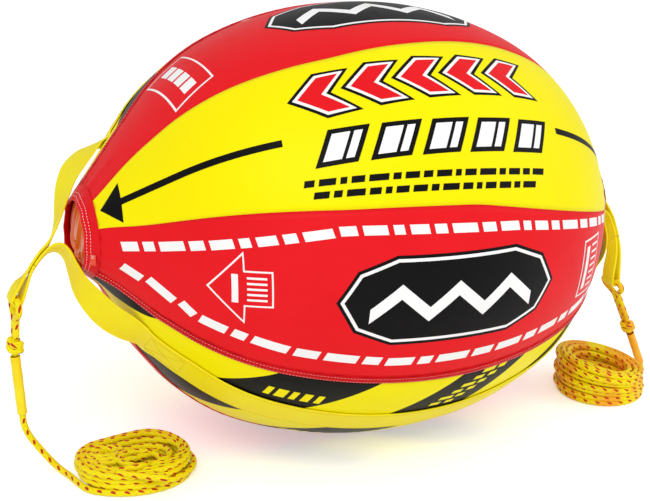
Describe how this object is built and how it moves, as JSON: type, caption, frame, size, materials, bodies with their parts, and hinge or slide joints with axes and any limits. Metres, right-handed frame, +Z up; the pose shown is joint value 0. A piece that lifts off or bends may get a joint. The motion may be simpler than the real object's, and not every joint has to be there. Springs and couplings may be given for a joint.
{
  "type": "towable tube",
  "caption": "Football-shaped inflatable tow-rope booster in a sewn nylon cover with hazard-striped side panels, full-length webbing straps, webbing tow eyes and coiled tow ropes.",
  "frame": {"origin": "middle of the flat patch that the ball lies on, under the ball's centre", "axes": "+X along the ball from the front tow eye to the rear one, +Z up from the floor, +Y away from the side with the ropes' bundles"},
  "size_m": [1.4965, 0.8798, 0.8769],
  "materials": {
    "bladder_vinyl": "satin",
    "patch_vinyl": "satin",
    "valve_black": "satin",
    "valve_white": "satin",
    "flap_rubber": "matte",
    "cover_main": "woven",
    "cover_hazard": "woven",
    "seam_red": "stitched",
    "collar_red": "woven",
    "tab_red": "woven",
    "webbing_yellow": "woven webbing",
    "rope_yellow": "braided",
    "sleeve_yellow": "satin"
  },
  "bodies": {
    "ball": {"bladder": "bladder_vinyl", "bladder_patch_front": "patch_vinyl", "bladder_patch_rear": "patch_vinyl", "valve_base": "valve_black", "main_panel_near": "cover_main", "main_panel_far": "cover_main", "hazard_panel_lower": "cover_hazard", "hazard_panel_upper": "cover_hazard", "seam_near_lower": "seam_red", "seam_near_upper": "seam_red", "seam_far_lower": "seam_red", "seam_far_upper": "seam_red", "collar_front": "collar_red", "collar_rear": "collar_red", "strap_lower": "webbing_yellow", "strap_upper": "webbing_yellow", "tow_eye_front": "webbing_yellow", "tow_eye_rear": "webbing_yellow", "rope_front_run": "rope_yellow", "rope_front_coil": "rope_yellow", "rope_front_end_knot": "rope_yellow", "rope_rear_run": "rope_yellow", "rope_rear_coil": "rope_yellow", "rope_rear_end_knot": "rope_yellow"},
    "valve_ring": {"valve_tether": "valve_white"},
    "valve_plug": {"valve_insert": "valve_white"},
    "valve_lid": {"valve_cap": "valve_white"},
    "valve_leaf": {"valve_flap": "flap_rubber"},
    "pull_tab": {"collar_tab": "tab_red"},
    "front_drop": {"rope_front_loop": "rope_yellow", "rope_front_knot": "rope_yellow", "rope_front_sleeve": "sleeve_yellow"},
    "rear_drop": {"rope_rear_loop": "rope_yellow", "rope_rear_knot": "rope_yellow", "rope_rear_sleeve": "sleeve_yellow"}
  },
  "joints": [
    {"name": "ring_lift", "type": "slide", "parent": "ball", "child": "valve_ring", "axis": [1, 0, 0], "range_m": [0, 0.014]},
    {"name": "insert_turn", "type": "hinge", "parent": "valve_ring", "child": "valve_plug", "pos_m": [0.5623, -0.03782, 0.46655], "axis": [1, 0, 0], "range_deg": [0, 1260]},
    {"name": "cap_hinge", "type": "hinge", "parent": "valve_plug", "child": "valve_lid", "pos_m": [0.5694, -0.05327, 0.47862], "axis": [0, -0.6157, -0.788], "range_deg": [0, 90]},
    {"name": "flap_lift", "type": "slide", "parent": "valve_plug", "child": "valve_leaf", "axis": [-1, 0, 0], "range_m": [0, 0.003], "stiffness_N_per_m": 20},
    {"name": "tab_hinge", "type": "hinge", "parent": "ball", "child": "pull_tab", "pos_m": [-0.57606, -0.09541, 0.437], "axis": [-0.6157, 0.788, 0], "range_deg": [0, 100]},
    {"name": "front_rope_swing", "type": "hinge", "parent": "ball", "child": "front_drop", "pos_m": [-0.7088, -0.062, 0.357], "axis": [0, 1, 0], "range_deg": [-8, 30]},
    {"name": "rear_rope_swing", "type": "hinge", "parent": "ball", "child": "rear_drop", "pos_m": [0.6228, -0.08, 0.257], "axis": [0, -1, 0], "range_deg": [0, 25]}
  ],
  "couplings": [
    {"joint": "ring_lift", "follows": "insert_turn", "m_per_rad": 0.00063662}
  ]
}
